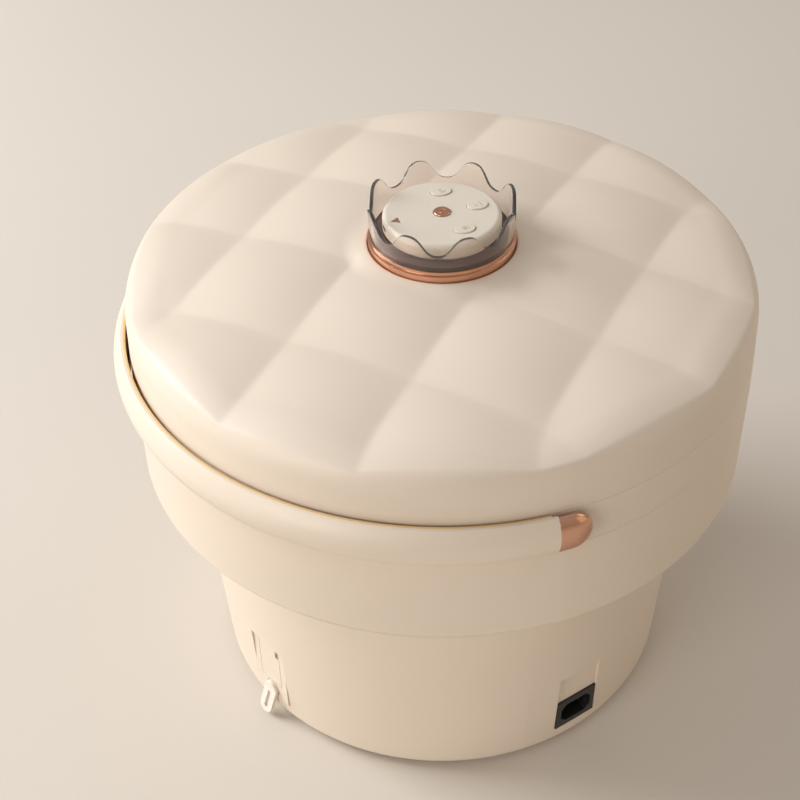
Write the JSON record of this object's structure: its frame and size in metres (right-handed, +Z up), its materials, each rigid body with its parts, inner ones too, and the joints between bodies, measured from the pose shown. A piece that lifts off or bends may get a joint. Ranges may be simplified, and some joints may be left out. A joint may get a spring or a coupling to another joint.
{
  "type": "foot spa basin",
  "caption": "Round heated foot spa basin with a stepped casing, bail handle, quilted lift-off lid and a remote control docked in a clear crown.",
  "frame": {"origin": "on the floor, on the upright axis of the round tub", "axes": "+Z is up; +X runs through the right-hand handle pivot; the bail handle lies round the -Y side at rest"},
  "size_m": [0.4106, 0.402, 0.347],
  "materials": {
    "casing": "satin cream moulded plastic",
    "tub": "light glossy cream plastic, easy to wipe",
    "lid": "soft-touch cream moulded plastic, quilted",
    "handle": "satin cream moulded plastic",
    "rose_metal": "polished rose-gold plated trim",
    "clear_crown": "clear moulded acrylic",
    "dock_dark": "tinted glossy plastic",
    "remote_shell": "satin cream plastic",
    "window": "infrared window, near black",
    "rubber": "moulded rubber",
    "seal": "soft silicone",
    "soft_clear": "translucent silicone",
    "black_plastic": "black moulded plastic",
    "grey_plastic": "grey moulded plastic",
    "steel": "bright zinc plated",
    "brass": "plain",
    "board": "solder-masked board",
    "roller": "cream polished plastic"
  },
  "bodies": {
    "basin": {"air_hose": "seal", "air_pump": "grey_plastic", "base_plate": "black_plastic", "base_screws": "steel", "board_components": "grey_plastic", "board_screws": "steel", "bubble_bar": "tub", "collar_screws": "steel", "control_board": "board", "drain_frame": "casing", "drain_pipe": "grey_plastic", "drain_strainer": "tub", "heater_block": "steel", "inlet_contacts": "brass", "inner_tub": "tub", "jet_nozzle": "tub", "lower_casing": "casing", "mains_inlet": "black_plastic", "pivot_bushes": "brass", "pivot_washers": "steel", "pump_housing": "grey_plastic", "pump_motor": "steel", "roller_axles": "steel", "roller_tray_left": "tub", "roller_tray_right": "tub", "rubber_feet": "rubber", "suction_grille": "tub", "temperature_probe": "steel", "thermal_cutout": "steel", "upper_casing": "casing", "water_hoses": "seal"},
    "handle": {"handle_band": "handle", "end_cap_right": "rose_metal", "end_cap_left": "rose_metal", "pivot_pins": "steel"},
    "lid": {"lid_shell": "lid", "lid_liner": "lid", "lid_seal": "seal", "lid_screws": "steel", "dock_ring": "rose_metal", "dock_seat": "dock_dark", "dock_magnet": "steel", "crown": "clear_crown"},
    "remote": {"remote_base": "remote_shell", "remote_top": "remote_shell", "remote_mark": "rose_metal", "remote_window": "window", "remote_board": "board", "remote_cell": "steel"},
    "power_key": {"power_button": "rose_metal"},
    "front_key": {"button_front": "remote_shell"},
    "middle_key": {"button_middle": "remote_shell"},
    "back_key": {"button_back": "remote_shell"},
    "drain_door": {"drain_cover": "casing"},
    "drain_stopper": {"drain_plug": "soft_clear"},
    "roller_one": {"massage_roller_1": "roller"},
    "roller_two": {"massage_roller_2": "roller"},
    "roller_three": {"massage_roller_3": "roller"},
    "roller_four": {"massage_roller_4": "roller"},
    "impeller": {"pump_impeller": "grey_plastic"}
  },
  "joints": [
    {"name": "handle_swing", "type": "hinge", "parent": "basin", "child": "handle", "pos_m": [0, 0, 0.2562], "axis": [-1, 0, 0], "range_deg": [0, 180]},
    {"name": "lid_lift", "type": "slide", "parent": "basin", "child": "lid", "axis": [0, 0, 1], "range_m": [0, 0.12]},
    {"name": "remote_lift", "type": "slide", "parent": "lid", "child": "remote", "axis": [0, 0, 1], "range_m": [0, 0.06]},
    {"name": "power_press", "type": "slide", "parent": "remote", "child": "power_key", "axis": [0, 0, -1], "range_m": [0, 0.0006], "stiffness_N_per_m": 900},
    {"name": "front_press", "type": "slide", "parent": "remote", "child": "front_key", "axis": [0, 0, -1], "range_m": [0, 0.0006], "stiffness_N_per_m": 900},
    {"name": "middle_press", "type": "slide", "parent": "remote", "child": "middle_key", "axis": [0, 0, -1], "range_m": [0, 0.0006], "stiffness_N_per_m": 900},
    {"name": "back_press", "type": "slide", "parent": "remote", "child": "back_key", "axis": [0, 0, -1], "range_m": [0, 0.0006], "stiffness_N_per_m": 900},
    {"name": "drain_door_swing", "type": "hinge", "parent": "basin", "child": "drain_door", "pos_m": [0.05205, -0.14906, 0.05], "axis": [0, 0, -1], "range_deg": [0, 100]},
    {"name": "drain_stopper_pull", "type": "slide", "parent": "basin", "child": "drain_stopper", "axis": [0.3859, -0.9225, 0], "range_m": [0, 0.03]},
    {"name": "roller_one_spin", "type": "hinge", "parent": "basin", "child": "roller_one", "pos_m": [0.048, 0.03, 0.079], "axis": [1, 0, 0], "continuous": true},
    {"name": "roller_two_spin", "type": "hinge", "parent": "basin", "child": "roller_two", "pos_m": [0.048, -0.03, 0.079], "axis": [1, 0, 0], "continuous": true},
    {"name": "roller_three_spin", "type": "hinge", "parent": "basin", "child": "roller_three", "pos_m": [-0.048, 0.03, 0.079], "axis": [1, 0, 0], "continuous": true},
    {"name": "roller_four_spin", "type": "hinge", "parent": "basin", "child": "roller_four", "pos_m": [-0.048, -0.03, 0.079], "axis": [1, 0, 0], "continuous": true},
    {"name": "impeller_spin", "type": "hinge", "parent": "basin", "child": "impeller", "pos_m": [0, 0, 0.04], "axis": [0, 0, 1], "continuous": true}
  ]
}
